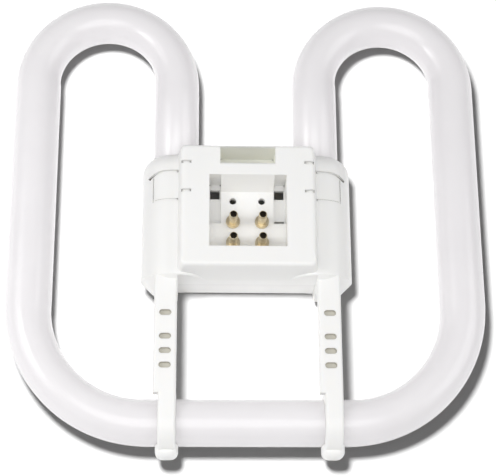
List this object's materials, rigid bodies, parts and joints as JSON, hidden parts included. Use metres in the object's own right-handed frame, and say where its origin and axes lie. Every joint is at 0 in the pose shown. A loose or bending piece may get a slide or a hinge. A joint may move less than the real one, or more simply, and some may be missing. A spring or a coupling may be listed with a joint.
{
  "type": "square compact fluorescent lamp",
  "caption": "Flat compact fluorescent lamp: a white tube bent into two loops, held by a moulded cap with recessed contact pins and clip legs.",
  "frame": {"origin": "middle of the lamp's footprint, on the plane of the cap's flat back", "axes": "+X across the two loops, +Y from the clips to the loop crowns, +Z from the back to the pins"},
  "size_m": [0.138, 0.1402, 0.0252],
  "materials": {
    "coated_glass": "smooth glass over a white coating",
    "cap_plastic": "white moulding, satin",
    "cover_plastic": "white moulding, satin",
    "pin_brass": "drawn brass",
    "lead_wire": "plain nickel-iron wire"
  },
  "bodies": {
    "root": {"discharge_tube": "coated_glass", "cap_housing": "cap_plastic", "rear_cover": "cover_plastic", "contact_pin_lower_left": "pin_brass", "contact_pin_upper_left": "pin_brass", "contact_pin_lower_right": "pin_brass", "contact_pin_upper_right": "pin_brass", "lead_wire_lower_left": "lead_wire", "lead_wire_upper_left": "lead_wire", "lead_wire_lower_right": "lead_wire", "lead_wire_upper_right": "lead_wire"}
  },
  "joints": []
}
